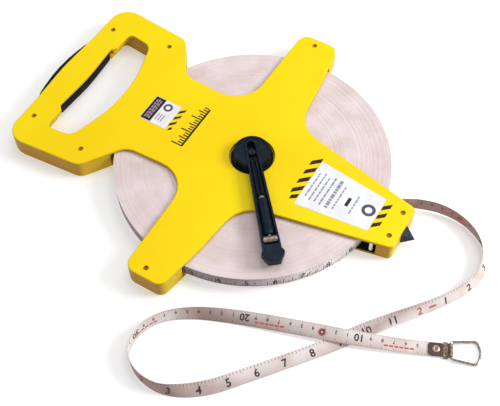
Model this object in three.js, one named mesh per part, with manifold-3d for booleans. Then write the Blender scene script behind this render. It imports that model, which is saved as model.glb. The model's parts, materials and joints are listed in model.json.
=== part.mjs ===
// Open-frame surveyor's tape reel: a fibreglass tape coil between two yellow frame halves,
// wound by a crank with a fold-away knob, with a length of tape drawn out of the mouth.
// Millimetres, +Z up. The reel lies on its rear face. The origin is on the reel's axis at
// the rear face, and +X points from the carrying handle to the tape mouth.

import * as THREE from 'three';
import { mergeVertices } from 'three/addons/utils/BufferGeometryUtils.js';
import Module from 'manifold-3d';

const wasm = await Module();
wasm.setup();

// ---------------------------------------------------------------- driving dimensions
const frameThickness = 21;
const plate = 2.6;              // thickness of each half's outer plate
const wall = 2.4;               // thickness of the closed walls
const rooted = 0.6;             // how far a wall or boss runs into its plate
const partingGap = 0.3;         // between the two halves
const coilRadius = 132;
const coreRadius = 44;
const tapeWidth = 13;
const tapeThickness = 0.5;
const coilClearRadius = 136;    // inner face of the walls around the coil

const axleRadius = 5;
const axleSquare = 6.4;         // across the flats of the axle's driving end
const bushRadius = 8;
const pocketRadius = 21.5;      // round pocket around the crank hub

const crankHubRadius = 17;
const crankTurn = -49.5;        // degrees from +X to the crank
const crankBottom = 22.3;
const crankTop = 30;
const channelFloor = crankBottom + 1.4;
const hexCentre = 114;          // crank axis to the middle of the hexagonal end
const hexCorner = 10.8;
const hingeRadius = 99.5;       // crank axis to knob hinge
const hingeZ = 28.4;
const gripFrom = 56;            // the stowed grip's two ends, from the crank axis
const gripTo = 94.6;

const mouthEnd = 160;
const mouthWallStart = 145.6;
const rollerSpot = { x: 140.2, y: 25, radius: 1.9, bore: 1.1 };

const screwSpots = [
  [-209.5, 66.5], [-145.5, 76], [-17, 152.5], [151.5, 14],
  [-209.5, -66.5], [-145.5, -76], [-17, -152.5], [151.5, -14],
];

const screwHeadRadius = 2.1;
const midZ = frameThickness / 2;
const tapeLow = midZ - tapeWidth / 2;
const tapeHigh = midZ + tapeWidth / 2;

// ---------------------------------------------------------------- materials
const material = (color, roughness, metalness = 0) =>
  new THREE.MeshStandardMaterial({ color, roughness, metalness });

const yellowPlastic = material(0xffe000, 0.45);
const blackPlastic = material(0x14171c, 0.4);
const blackRubber = material(0x121212, 0.8);
const tapeMaterial = material(0xe9e0de, 0.55);
const steel = material(0xb9bcc0, 0.3, 1);
const yellowedSteel = material(0x8a6a2a, 0.4, 1);
const blackSteel = material(0x2a2c30, 0.4, 1);
const bronze = material(0xb08a4a, 0.4, 1);
const whiteNylon = material(0xe6e4dc, 0.5);
const labelWhite = material(0xf2f2f2, 0.5);
const brownVinyl = material(0x4a2a22, 0.6);

// ---------------------------------------------------------------- solids
function solidOf(geometry) {
  const bare = geometry.clone();
  bare.deleteAttribute('normal');
  bare.deleteAttribute('uv');
  const merged = mergeVertices(bare, 1e-4);
  return new wasm.Manifold(new wasm.Mesh({
    numProp: 3,
    vertProperties: new Float32Array(merged.attributes.position.array),
    triVerts: new Uint32Array(merged.index.array),
  }));
}

function geometryOf(solid) {
  const mesh = solid.getMesh();
  const geometry = new THREE.BufferGeometry();
  geometry.setAttribute('position', new THREE.BufferAttribute(mesh.vertProperties, 3));
  geometry.setIndex(new THREE.BufferAttribute(mesh.triVerts, 1));
  geometry.computeVertexNormals();
  return geometry;
}

const join = (first, ...rest) => rest.reduce((sum, next) => sum.add(next), first);
const cut = (first, ...rest) => rest.reduce((left, next) => left.subtract(next), first);

function slab(shape, z0, z1) {
  const geometry = new THREE.ExtrudeGeometry(shape, { depth: z1 - z0, bevelEnabled: false });
  geometry.translate(0, 0, z0);
  return solidOf(geometry);
}

function block(x0, x1, y0, y1, z0, z1) {
  const geometry = new THREE.BoxGeometry(x1 - x0, y1 - y0, z1 - z0);
  geometry.translate((x0 + x1) / 2, (y0 + y1) / 2, (z0 + z1) / 2);
  return solidOf(geometry);
}

function disc(radius, z0, z1, x = 0, y = 0, sides = 32) {
  const geometry = new THREE.CylinderGeometry(radius, radius, z1 - z0, sides);
  geometry.rotateX(Math.PI / 2);
  geometry.translate(x, y, (z0 + z1) / 2);
  return solidOf(geometry);
}

const ring = (inner, outer, z0, z1, x = 0, y = 0, sides = 32) =>
  cut(disc(outer, z0, z1, x, y, sides), disc(inner, z0 - 1, z1 + 1, x, y, sides));

// A rod along X or Y between two places on that axis.
function rod(radius, axis, from, to, a, b, sides = 20) {
  const geometry = new THREE.CylinderGeometry(radius, radius, to - from, sides);
  if (axis === 'x') {
    geometry.rotateZ(-Math.PI / 2);
    geometry.translate((from + to) / 2, a, b);
  } else {
    geometry.translate(a, (from + to) / 2, b);
  }
  return solidOf(geometry);
}

// ---------------------------------------------------------------- outlines
// An outline is a list of corners [x, y, rounding radius], counter-clockwise.
const mirrored = (upperHalf) =>
  [...upperHalf, ...upperHalf.filter(([, y]) => y !== 0).reverse().map(([x, y, r]) => [x, -y, r])];

const chordError = 0.2;         // how far a chord may stand off its arc

// Points of an arc from one angle to another, the short way round.
function arcPoints(centre, radius, from, to) {
  const turn = THREE.MathUtils.euclideanModulo(to - from + Math.PI, 2 * Math.PI) - Math.PI;
  const widest = 2 * Math.acos(Math.max(1 - chordError / radius, 0.7));
  const steps = Math.max(1, Math.ceil(Math.abs(turn) / widest));
  return Array.from({ length: steps + 1 }, (_, i) => {
    const angle = from + (turn * i) / steps;
    return new THREE.Vector2(centre.x + radius * Math.cos(angle), centre.y + radius * Math.sin(angle));
  });
}

function roundedPoints(corners) {
  return corners.flatMap(([x, y, radius], i) => {
    const here = new THREE.Vector2(x, y);
    const [before, after] = [corners.at(i - 1), corners[(i + 1) % corners.length]];
    const toBefore = new THREE.Vector2(before[0] - x, before[1] - y).normalize();
    const toAfter = new THREE.Vector2(after[0] - x, after[1] - y).normalize();
    const half = Math.acos(THREE.MathUtils.clamp(toBefore.dot(toAfter), -1, 1)) / 2;
    const start = here.clone().addScaledVector(toBefore, radius / Math.tan(half));
    const end = here.clone().addScaledVector(toAfter, radius / Math.tan(half));
    const inward = toBefore.clone().add(toAfter).normalize();
    const centre = here.clone().addScaledVector(inward, radius / Math.sin(half));
    return arcPoints(centre, radius, start.sub(centre).angle(), end.sub(centre).angle());
  });
}

const roundedShape = (corners) => new THREE.Shape(roundedPoints(corners));

// The same outline moved inwards by a distance (outwards if negative).
function inset(corners, distance) {
  return corners.map(([x, y, radius], i) => {
    const [before, after] = [corners.at(i - 1), corners[(i + 1) % corners.length]];
    const along = new THREE.Vector2(x - before[0], y - before[1]).normalize();
    const onward = new THREE.Vector2(after[0] - x, after[1] - y).normalize();
    const turn = along.cross(onward);
    const shift = distance / (1 + along.dot(onward));
    const normals = new THREE.Vector2(-along.y - onward.y, along.x + onward.x);
    const turned = turn > 0 ? radius - distance : radius + distance;
    return [x + normals.x * shift, y + normals.y * shift, Math.max(turned, 0.4)];
  });
}

const frameOutline = mirrored([
  [mouthEnd, 24.3, 5], [20, 53.3, 32], [13.5, 112, 80], [4.5, 161.6, 9], [-35.6, 161.6, 11],
  [-37.5, 49.5, 31], [-109, 52.5, 18], [-136.5, 93, 12], [-221, 100.5, 19], [-221, 50, 30], [-223.7, 0, 200],
]);
// The hand hole, with the handle's inner edge at x = edge and stepped back beside the grip.
const handHoleOutline = (edge) => mirrored([
  [-150, 22, 110], [-163.5, 67, 11], [edge, 70.5, 5],
  [edge, 47, 2], [edge - 5.2, 42, 3], [edge - 2.6, 0, 200],
]);
const plateHoleEdge = -190.8;   // the handle narrows from the front plate to the rear half
const frontHoleEdge = -194;
const rearHoleEdge = -199.5;
const gripOutline = [
  [-197, 43.5, 5], [-225.6, 43.5, 8], [-233.4, 0, 160],
  [-225.6, -43.5, 8], [-197, -43.5, 5], [-194.2, 0, 160],
];

// ---------------------------------------------------------------- frame halves
const gripBay = () => block(-235, -180, -45.5, 45.5, -1, frameThickness + 1);
const mouthGap = () => block(100, mouthWallStart, -60, 60, -1, frameThickness + 1);
const coilSpace = () => disc(coilClearRadius, -1, frameThickness + 1, 0, 0, 72);

// Walls of one half from z0 to z1: closed around the handle, the arm ends and the mouth end,
// open where the coil shows between the arms.
function walls(z0, z1, holeEdge) {
  const outer = slab(roundedShape(frameOutline), z0, z1);
  const inner = slab(roundedShape(inset(frameOutline, wall)), z0 - 1, z1 + 1);
  const holeOuter = slab(roundedShape(inset(handHoleOutline(holeEdge), -wall)), z0, z1);
  const coilWall = outer.intersect(ring(coilClearRadius, coilClearRadius + wall, z0, z1, 0, 0, 72));
  const mouthWall = outer.intersect(block(mouthWallStart, mouthWallStart + wall, -40, 40, z0, z1));
  const rim = cut(join(cut(outer, inner), holeOuter, coilWall), coilSpace(), mouthGap());
  return cut(join(rim, mouthWall), gripBay());
}

const spikeSlot = () => block(mouthWallStart + wall + 1.5, mouthEnd + 1, -4.2, 4.2, midZ - 4.2, midZ + 4.2);

function frameHalf(plateFrom, plateTo, wallFrom, wallTo, bossRadius, plateEdge, holeEdge) {
  const plateSlab = slab(roundedShape(frameOutline), plateFrom, plateTo);
  const bosses = screwSpots.map(([x, y]) => disc(bossRadius, wallFrom, wallTo, x, y, 12));
  const body = join(plateSlab, walls(wallFrom, wallTo, holeEdge), ...bosses);
  const plateHole = slab(roundedShape(handHoleOutline(plateEdge)), -1, frameThickness + 1);
  const wallHole = slab(roundedShape(handHoleOutline(holeEdge)), -1, frameThickness - plate);
  return cut(body, plateHole, wallHole, spikeSlot());
}

// Labels lie in shallow recesses of the front plate.
const labelCorners = {
  label_mouth: [[132.5, 19.5, 1], [61, 27.5, 1], [61, -27.5, 1], [132.5, -19.5, 1]],
  label_handle: [[-89.5, 15.5, 1], [-119, 15.5, 1], [-119, -15.5, 1], [-89.5, -15.5, 1]],
};
const labelDepth = 0.3;

function frontHalf() {
  const wallTo = frameThickness - plate;
  const screwSeat = 17;
  const pocketFloor = 15.3;
  const pocket = ring(pocketRadius, pocketRadius + 2, pocketFloor, wallTo + rooted, 0, 0, 48);
  const floor = disc(pocketRadius + 2, pocketFloor, pocketFloor + 2, 0, 0, 48);
  const body = cut(
    frameHalf(
      wallTo, frameThickness, midZ + partingGap / 2, wallTo + rooted, 5, plateHoleEdge, frontHoleEdge),
    disc(pocketRadius, wallTo - 1, frameThickness + 1, 0, 0, 48),
  );
  const holes = screwSpots.flatMap(([x, y]) => [
    disc(1.8, 0, frameThickness, x, y, 8),
    disc(screwHeadRadius + 0.35, screwSeat, frameThickness + 1, x, y, 16),
  ]);
  const pinHoles = [1, -1].map((side) =>
    disc(rollerSpot.bore - 0.05, 10, frameThickness - 1.2, rollerSpot.x, side * rollerSpot.y, 12));
  const labelBeds = Object.values(labelCorners).map((corners) =>
    slab(roundedShape(inset(corners, -0.15)), frameThickness - labelDepth, frameThickness + 1));
  return cut(join(body, pocket, floor), disc(bushRadius + 0.05, 10, 20), ...holes, ...pinHoles, ...labelBeds);
}

function rearHalf() {
  const body = join(
    frameHalf(0, plate, plate - rooted, midZ - partingGap / 2, 4.5, rearHoleEdge, rearHoleEdge),
    disc(14, plate - rooted, 5.4, 0, 0, 32),
  );
  const holes = screwSpots.map(([x, y]) => disc(1.5, 2.2, 12, x, y, 8));
  const pinHoles = [1, -1].map((side) =>
    disc(rollerSpot.bore - 0.05, 1.2, 8, rollerSpot.x, side * rollerSpot.y, 12));
  return cut(body, disc(12.4, -1, 1.8, 0, 0, 32), disc(bushRadius + 0.05, 1, 8), ...holes, ...pinHoles);
}

// ---------------------------------------------------------------- grip, spike, screws
// The grip stands out beyond the plates on both sides, with its long edges well rounded.
function handleGrip() {
  const rounding = 5;
  const bottom = plate + 0.4;
  const height = frameThickness - 2 * bottom;
  const geometry = new THREE.ExtrudeGeometry(roundedShape(inset(gripOutline, rounding)), {
    depth: height - 2 * rounding, bevelThickness: rounding, bevelSize: rounding, bevelSegments: 5,
  });
  geometry.translate(0, 0, bottom + rounding);
  return cut(solidOf(geometry), block(-215, -199, -36, 36, 2, frameThickness - 2));
}

// Four-sided point on a square shank, held in the mouth's end wall.
function groundSpike() {
  const point = new THREE.ConeGeometry(6.2 * Math.SQRT2, 11.5, 4);
  point.rotateY(Math.PI / 4);
  point.rotateZ(-Math.PI / 2);
  point.translate(mouthEnd + 0.3 + 11.5 / 2, 0, midZ);
  const shank = block(mouthWallStart + wall + 2, mouthEnd + 1, -3.9, 3.9, midZ - 3.9, midZ + 3.9);
  return join(solidOf(point), shank);
}

function frameScrew(x, y) {
  const head = cut(
    disc(screwHeadRadius, 17.1, 19.2, x, y, 16),
    block(x - 1.5, x + 1.5, y - 0.35, y + 0.35, 18.2, 20),
    block(x - 0.35, x + 0.35, y - 1.5, y + 1.5, 18.2, 20),
  );
  return join(head, disc(1.4, 3, 17.5, x, y, 8));
}

// ---------------------------------------------------------------- mouth
const mouthSlack = 0.4;         // between the mouth's end wall and what lies against it

// A thin wear plate on the rear half, running in under the coil.
function mouthLiner() {
  const [bottom, thickness] = [plate + 0.3, 0.6];
  const edgeRadius = coilRadius - 8;
  const corners = mirrored([[mouthWallStart - mouthSlack, 26.8, 1], [117, 32.6, 1]]);
  const pinHoles = [1, -1].map((side) => disc(1.5, 2, 5, rollerSpot.x, side * rollerSpot.y, 16));
  const edge = disc(edgeRadius, 2, 5, 0, 0, 96);
  return cut(slab(roundedShape(corners), bottom, bottom + thickness), edge, ...pinHoles);
}

// The block that stands between the two rollers.
function guideBlock() {
  const corners = mirrored([[mouthWallStart - mouthSlack, 20, 0.5], [rollerSpot.x - 2.8, 20, 3]]);
  return slab(roundedShape(corners), plate + 1.2, frameThickness - plate - 0.3);
}

// ---------------------------------------------------------------- reel
function axle() {
  const body = join(
    disc(axleRadius, 2, 16.5),
    disc(bushRadius, 6.3, 7),
    block(-axleSquare / 2, axleSquare / 2, -axleSquare / 2, axleSquare / 2, 16, 23.3),
  );
  return cut(body, disc(1.6, 13, 24, 0, 0, 12));
}

function reelDrum() {
  const hub = ring(axleRadius + 0.05, 10, 7.2, 14.2);
  const rim = ring(coreRadius - 3.5, coreRadius - 0.3, tapeLow, tapeHigh, 0, 0, 48);
  const spokes = Array.from({ length: 6 }, (_, i) =>
    block(9, coreRadius - 2, -2, 2, 8, 13.4).rotate([0, 0, 60 * i]));
  const anchorSlot = block(coreRadius - 5, coreRadius + 1, -1.2, 1.2, 0, frameThickness).rotate([0, 0, 30]);
  const keyway = block(4, 6.6, -1.1, 1.1, 6, 15);
  return cut(join(hub, rim, ...spokes), anchorSlot, keyway);
}

const anchorClip = () =>
  block(coreRadius - 3.3, coreRadius - 0.5, -1, 1, tapeLow, tapeHigh).rotate([0, 0, 30]);
const driveKey = () => block(5.05, 6.4, -1, 1, 7.5, 13.9);
const tapeCoil = () => ring(coreRadius, coilRadius, tapeLow, tapeHigh, 0, 0, 96);

// ---------------------------------------------------------------- crank
// Built pointing along +X, then turned to the crank's angle by its group.
function crankHub() {
  const opening = axleSquare / 2 + 0.05;
  return cut(
    disc(crankHubRadius, 17.8, crankBottom - 0.05, 0, 0, 48),
    block(-opening, opening, -opening, opening, 10, 30).rotate([0, 0, -crankTurn]),
  );
}

const channelWidth = (x) => 8.2 + (x / hingeRadius) * 4.8;   // inner width of the crank's channel

function taperedShape(from, to, extra) {
  const [narrow, wide] = [from, to].map((x) => (channelWidth(x) + extra) / 2);
  const rootRadius = 0.9 * narrow;
  return roundedShape([
    [to, wide, 0.8], [from, narrow, rootRadius], [from, -narrow, rootRadius], [to, -wide, 0.8],
  ]);
}

function crankArm() {
  const hexagon = Array.from({ length: 6 }, (_, i) => {
    const angle = Math.PI / 2 + (i * Math.PI) / 3;
    return [hexCentre + hexCorner * Math.cos(angle), hexCorner * Math.sin(angle), 1];
  });
  const opening = axleSquare / 2 + 0.05;
  const rootTop = crankTop - 0.6;
  const root = cut(
    disc(crankHubRadius, crankBottom, rootTop, 0, 0, 48),
    disc(crankHubRadius - 1.8, rootTop - 0.8, crankTop, 0, 0, 48),
  );
  const body = cut(
    join(
      root,
      slab(taperedShape(-12.4, hexCentre - 4, 3.6), crankBottom, crankTop),
      slab(roundedShape(hexagon), crankBottom + 1.5, crankTop),
    ),
    slab(taperedShape(-10.2, 105, 0), channelFloor, crankTop + 1),
    rod(1.55, 'y', -9, 9, hingeRadius, hingeZ, 16),
    block(-opening, opening, -opening, opening, 10, channelFloor + 1).rotate([0, 0, -crankTurn]),
  );
  const ribs = [2.2, -2.2].map((y) => block(8, 50, y - 0.6, y + 0.6, channelFloor - 0.5, hingeZ));
  return join(body, ...ribs);
}

function crankScrew() {
  const head = cut(disc(3.4, 24.55, 26.9, 0, 0, 20), block(-2.6, 2.6, -0.5, 0.5, 26, 28));
  return join(head, disc(1.55, 14.5, 25, 0, 0, 12));
}

const hingePin = () => rod(1.5, 'y', -8.1, 8.1, hingeRadius, hingeZ, 16);
const knobSpring = () => block(95.4, 104, -2.5, 2.5, channelFloor + 0.1, channelFloor + 0.5);

function knobSpindle() {
  return cut(
    join(
      rod(3.4, 'y', -5.9, 5.9, hingeRadius, hingeZ),
      rod(1.7, 'x', 53.6, hingeRadius - 2, 0, hingeZ, 12),
      rod(2.9, 'x', 53.6, 55.7, 0, hingeZ, 16),
    ),
    rod(1.56, 'y', -9, 9, hingeRadius, hingeZ, 16),
  );
}

// A ribbed grip with rounded ends that turns on the spindle.
function knobGrip() {
  const length = gripTo - gripFrom;
  const profile = [[1.78, 0], [3.4, 0], [4.2, 1], [4.4, 3], [4.1, length / 2], [4.4, length - 3],
    [4.2, length - 1], [3.4, length], [1.78, length], [1.78, 0]];
  const body = new THREE.LatheGeometry(profile.map(([r, y]) => new THREE.Vector2(r, y)), 24);
  body.rotateZ(-Math.PI / 2);
  body.translate(gripFrom, 0, hingeZ);
  const grooves = Array.from({ length: 8 }, (_, i) => {
    const angle = (i * Math.PI) / 4;
    const [y, z] = [4.35 * Math.cos(angle), hingeZ + 4.35 * Math.sin(angle)];
    return rod(0.5, 'x', gripFrom + 4, gripTo - 4, y, z, 6);
  });
  return cut(solidOf(body), ...grooves);
}

// ---------------------------------------------------------------- tape path
// The tape leaves the coil on a tangent, bends around the exit roller and runs out free.
const tapeLineRadius = coilRadius + 0.6;
const rollerReach = rollerSpot.radius + 0.6;
const rollerDistance = Math.hypot(rollerSpot.x, rollerSpot.y);
const rollerBearing = Math.atan2(rollerSpot.y, rollerSpot.x);
const tangentAngle = rollerBearing - Math.acos((tapeLineRadius + rollerReach) / rollerDistance);

function tapeLead() {
  const onRoller = (angle) => [
    rollerSpot.x - rollerReach * Math.cos(angle), rollerSpot.y - rollerReach * Math.sin(angle),
  ];
  const start = [tapeLineRadius * Math.cos(tangentAngle), tapeLineRadius * Math.sin(tangentAngle)];
  const exitAngle = THREE.MathUtils.degToRad(-56);
  const bend = [0, 0.34, 0.67, 1].map((t) => onRoller(tangentAngle + t * (exitAngle - tangentAngle)));
  return ribbon([start, ...bend].map(([x, y]) => ({ x, y, z: tapeLow, lean: 0 })), tapeThickness);
}

// Free tape: the lower edge's place [x, y, z] and its lean in degrees from upright, to the
// left of the way it runs. Two open loops, the end passing over the middle.
const freeTapePoints = [
  [139.2, 27.4, 4, 0], [149.5, 33, 3.6, 4], [158.5, 37, 3, 8], [173, 42.3, 1.8, 7], [188, 44.2, 0.9, 3],
  [202, 42.6, 0.5, -3], [215, 37.5, 0.4, -7], [226.5, 29.3, 0.4, -14], [235, 18.5, 0.4, -24],
  [239.5, 1.5, 0.4, -30], [234.5, -20, 0.4, -28], [223.5, -40, 0.4, -26], [209, -61, 0.4, -32],
  [193.5, -82, 0.4, -46], [177, -105, 0.4, -64], [159, -131, 0.4, -78], [137, -159.5, 0.4, -82],
  [112, -191, 0.4, -75], [90, -217, 0.4, -57], [69, -232, 0.4, -35], [50, -238, 0.4, -15],
  [31, -236, 0.4, -4], [17.5, -229, 0.4, 0], [9.8, -219.5, 0.4, 3], [7.8, -208, 0.4, 7],
  [10.5, -194, 0.4, 11], [20, -179.5, 0.4, 17], [39, -165.8, 0.5, 28], [65.5, -154, 0.8, 43],
  [96, -143.3, 2, 58], [129.5, -132.3, 3.4, 68], [164, -120.7, 4, 76], [194, -109, 3, 82],
  [216, -99.6, 1.9, 86], [232.7, -91.8, 1.5, 88],
];

// A closed ribbon of the tape's width through stations {x, y, z, lean}.
function ribbon(stations, thickness) {
  const points = [];
  stations.forEach((station, i) => {
    const before = stations[Math.max(i - 1, 0)];
    const after = stations[Math.min(i + 1, stations.length - 1)];
    const run = new THREE.Vector3(after.x - before.x, after.y - before.y, 0).normalize();
    const left = new THREE.Vector3(-run.y, run.x, 0);
    const across = left.clone().multiplyScalar(Math.sin(station.lean)).setZ(Math.cos(station.lean));
    const through = run.clone().cross(across).multiplyScalar(thickness / 2);
    const low = new THREE.Vector3(station.x, station.y, station.z);
    const high = low.clone().addScaledVector(across, tapeWidth);
    [[low, -1], [low, 1], [high, 1], [high, -1]].forEach(([edge, side]) =>
      points.push(edge.clone().addScaledVector(through, side)));
  });
  const index = [];
  const quad = (a, b, c, d) => index.push(a, b, c, a, c, d);
  // Both faces are split along the same diagonal, so they stay a thickness apart in a twist.
  for (let i = 0; i + 1 < stations.length; i += 1) {
    const [a, b, c, d] = [4 * i, 4 * i + 1, 4 * i + 2, 4 * i + 3];
    quad(a, a + 4, b + 4, b);
    quad(b, b + 4, c + 4, c);
    quad(c, c + 4, d + 4, d);
    quad(d + 4, a + 4, a, d);
  }
  const last = 4 * (stations.length - 1);
  quad(0, 1, 2, 3);
  quad(last + 3, last + 2, last + 1, last);
  const geometry = new THREE.BufferGeometry();
  geometry.setAttribute('position', new THREE.Float32BufferAttribute(points.flatMap((p) => p.toArray()), 3));
  geometry.setIndex(index);
  return solidOf(geometry);
}

function freeTape() {
  const route = new THREE.CatmullRomCurve3(
    freeTapePoints.map(([x, y, z]) => new THREE.Vector3(x, y, z)), false, 'centripetal');
  const leans = new THREE.CatmullRomCurve3(
    freeTapePoints.map(([, , , lean], i) => new THREE.Vector3(i, lean, 0)), false, 'centripetal');
  const steps = 2 * (freeTapePoints.length - 1);
  const stations = Array.from({ length: steps + 1 }, (_, i) => {
    const { x, y, z } = route.getPoint(i / steps);
    return { x, y, z, lean: THREE.MathUtils.degToRad(leans.getPoint(i / steps).y) };
  });
  return ribbon(stations, tapeThickness);
}

// ---------------------------------------------------------------- end fitting
// Built along +X from the tape's end, then placed by its group.
const patchLength = 12.6;
const patchWidth = 12;
const bracketWidth = 14.8;
const eyeletX = 6.8;
const barrelX = 19;
const barrelZ = 2.3;
const barrelHalf = 5.8;         // half the barrel's length
const ringWire = 1.1;           // radius of the ring's wire

function endPatch() {
  const half = patchWidth / 2;
  const corners = [[patchLength, half, 1], [0, half, 2.5], [0, -half, 2.5], [patchLength, -half, 1]];
  const tapeSlot = block(-1, 4.2, -tapeWidth, tapeWidth, 1.1, 2.5);
  return cut(slab(roundedShape(corners), 0.75, 3), tapeSlot, disc(1.85, 0, 4, eyeletX, 0, 20));
}

function ringBracket() {
  const tongue = block(1, patchLength + 1, -5.5, 5.5, 0.15, 0.6);
  const web = block(patchLength + 0.3, barrelX - 2.1, -bracketWidth / 2, bracketWidth / 2, 0.15, 2.4);
  const neck = block(barrelX - 3, barrelX, -barrelHalf, barrelHalf, 0.3, 2.8);
  const barrel = rod(2.1, 'y', -barrelHalf, barrelHalf, barrelX, barrelZ);
  const bore = rod(ringWire + 0.15, 'y', -9, 9, barrelX, barrelZ, 12);
  return cut(join(tongue, web, neck, barrel), bore, disc(1.85, -1, 4, eyeletX, 0, 20));
}

function endEyelet() {
  const profile = [
    [1.1, 0], [2.8, 0], [2.8, 0.1], [1.75, 0.12], [1.75, 3.1],
    [3.2, 3.1], [3.3, 3.5], [2, 3.9], [1.1, 3.6], [1.1, 0],
  ];
  const geometry = new THREE.LatheGeometry(profile.map(([r, z]) => new THREE.Vector2(r, z)), 20);
  geometry.rotateX(Math.PI / 2);
  geometry.translate(eyeletX, 0, 0);
  return solidOf(geometry);
}

// A D-shaped wire ring whose straight side runs through the bracket's barrel.
function endRing() {
  const corners = [[0, 7.9, 2], [0, -7.9, 2], [22.5, -11, 3], [26.5, 0, 14], [22.5, 11, 3]];
  const slope = -0.04;          // the far end rests lower than the barrel
  const points = roundedPoints(corners).map((p) => new THREE.Vector3(p.x, p.y, slope * p.x));
  const path = new THREE.CurvePath();
  points.forEach((point, i) => path.add(new THREE.LineCurve3(point, points[(i + 1) % points.length])));
  const section = new THREE.Shape().absarc(0, 0, ringWire, 0, 2 * Math.PI, false);
  return solidOf(new THREE.ExtrudeGeometry(section, { steps: 40, curveSegments: 4, extrudePath: path }));
}

// ---------------------------------------------------------------- assembly
const group = new THREE.Group();
group.name = 'surveyor_tape_reel';

function add(name, solid, look, parent = group) {
  const mesh = new THREE.Mesh(geometryOf(solid), look);
  mesh.name = name;
  parent.add(mesh);
}

add('frame_front', frontHalf(), yellowPlastic);
add('frame_rear', rearHalf(), yellowPlastic);
add('handle_grip', handleGrip(), blackRubber);
add('ground_spike', groundSpike(), blackPlastic);
screwSpots.forEach(([x, y], i) => add(`frame_screw_${i + 1}`, frameScrew(x, y), yellowedSteel));
Object.entries(labelCorners).forEach(([name, corners]) => {
  const bottom = frameThickness - labelDepth + 0.05;
  add(name, slab(roundedShape(corners), bottom, frameThickness + 0.1), labelWhite);
});

[1, -1].forEach((side, i) => {
  const y = side * rollerSpot.y;
  const roller = ring(rollerSpot.bore, rollerSpot.radius, 3.9, 17.3, rollerSpot.x, y, 20);
  add(`guide_roller_${i + 1}`, roller, whiteNylon);
  add(`roller_pin_${i + 1}`, disc(rollerSpot.bore - 0.1, 1.25, 19.75, rollerSpot.x, y, 12), steel);
});

add('dust_seal', ring(crankHubRadius + 0.4, pocketRadius - 1.1, 17.6, 19.2, 0, 0, 48), blackRubber);
add('mouth_liner', mouthLiner(), blackPlastic);
add('guide_block', guideBlock(), blackPlastic);

add('rear_bush', ring(axleRadius + 0.06, bushRadius, 1.95, 5.9), bronze);
add('front_bush', ring(axleRadius + 0.06, bushRadius, 15, 17.6), bronze);
add('rear_cap', disc(12.3, 0, 1.7), blackPlastic);
add('axle', axle(), steel);
add('drive_key', driveKey(), steel);
add('reel_drum', reelDrum(), blackPlastic);
add('anchor_clip', anchorClip(), steel);
add('tape_coil', tapeCoil(), tapeMaterial);
add('tape_lead', tapeLead(), tapeMaterial);
add('free_tape', freeTape(), tapeMaterial);

const crank = new THREE.Group();
crank.rotation.z = THREE.MathUtils.degToRad(crankTurn);
group.add(crank);
add('crank_hub', crankHub(), blackPlastic, crank);
add('crank_arm', crankArm(), blackPlastic, crank);
add('crank_washer', ring(1.75, 3.8, channelFloor + 0.05, channelFloor + 0.8, 0, 0, 20), blackSteel, crank);
add('crank_screw', crankScrew(), blackSteel, crank);
add('knob_hinge_pin', hingePin(), steel, crank);
add('knob_spring', knobSpring(), blackSteel, crank);
add('knob_spindle', knobSpindle(), steel, crank);
add('knob_grip', knobGrip(), blackPlastic, crank);

const fitting = new THREE.Group();
fitting.position.set(227.1, -87.4, 0);
fitting.rotation.z = THREE.MathUtils.degToRad(24.5);
group.add(fitting);
add('end_patch', endPatch(), brownVinyl, fitting);
add('ring_bracket', ringBracket(), steel, fitting);
add('end_eyelet', endEyelet(), steel, fitting);
const ringHolder = new THREE.Group();
ringHolder.position.set(barrelX, 0, barrelZ);
fitting.add(ringHolder);
add('end_ring', endRing(), steel, ringHolder);

export default group;
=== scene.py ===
"""Surveyor's open-frame tape reel: the looks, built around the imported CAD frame.

Lengths are millimetres in the frame of part.mjs, and become metres where a mesh is made.
The reel lies on its rear face with +Z up, and +X points from the handle to the tape mouth.
"""
import json
import random
from functools import cache
from math import ceil, cos, hypot, pi, radians, sin

import bmesh
import bpy
from mathutils import Matrix, Vector


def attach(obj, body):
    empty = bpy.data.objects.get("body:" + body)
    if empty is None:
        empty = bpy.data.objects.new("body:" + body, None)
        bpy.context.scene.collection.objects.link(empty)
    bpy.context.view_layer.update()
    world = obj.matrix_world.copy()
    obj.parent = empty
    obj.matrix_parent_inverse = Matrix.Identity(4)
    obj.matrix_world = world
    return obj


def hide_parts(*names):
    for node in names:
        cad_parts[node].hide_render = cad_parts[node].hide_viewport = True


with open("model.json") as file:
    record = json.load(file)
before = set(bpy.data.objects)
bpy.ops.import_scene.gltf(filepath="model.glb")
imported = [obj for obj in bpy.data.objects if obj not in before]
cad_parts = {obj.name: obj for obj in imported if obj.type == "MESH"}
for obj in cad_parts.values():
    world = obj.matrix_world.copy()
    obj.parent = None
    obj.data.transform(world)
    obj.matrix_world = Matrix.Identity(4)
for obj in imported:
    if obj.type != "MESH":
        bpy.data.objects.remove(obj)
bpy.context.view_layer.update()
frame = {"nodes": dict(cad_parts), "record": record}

MM = 0.001
INCH = 25.4

# ------------------------------------------------------------------ driving dimensions
FRAME_TOP = 21.0
COIL_RADIUS = 132.0
CORE_RADIUS = 44.0
TAPE_WIDTH = 13.0
TAPE_THICKNESS = 0.5
TAPE_LOW = (FRAME_TOP - TAPE_WIDTH) / 2
TAPE_HIGH = TAPE_LOW + TAPE_WIDTH
LABEL_TOP = 21.1
MOUTH_LABEL = (58, 135, 29)         # from x, to x, half width
HANDLE_LABEL = (-121, -87, 17)
SCREW_SPOTS = [
    (x, side * y) for side in (1, -1) for x, y in ((-209.5, 66.5), (-145.5, 76), (-17, 152.5), (151.5, 14))
]
INK_LIFT = 0.04     # how far printed ink stands off its surface

CAMERA_AIM = (18.8, -35.5, 0)
CAMERA_DISTANCE = 916.5
CAMERA_AZIMUTH = 32.65      # degrees round from -Y toward +X
CAMERA_ELEVATION = 56.16
CAMERA_ROLL = -1.78
CAMERA_LENS = 70.04         # focal length behind a sensor 36 mm wide


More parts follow.
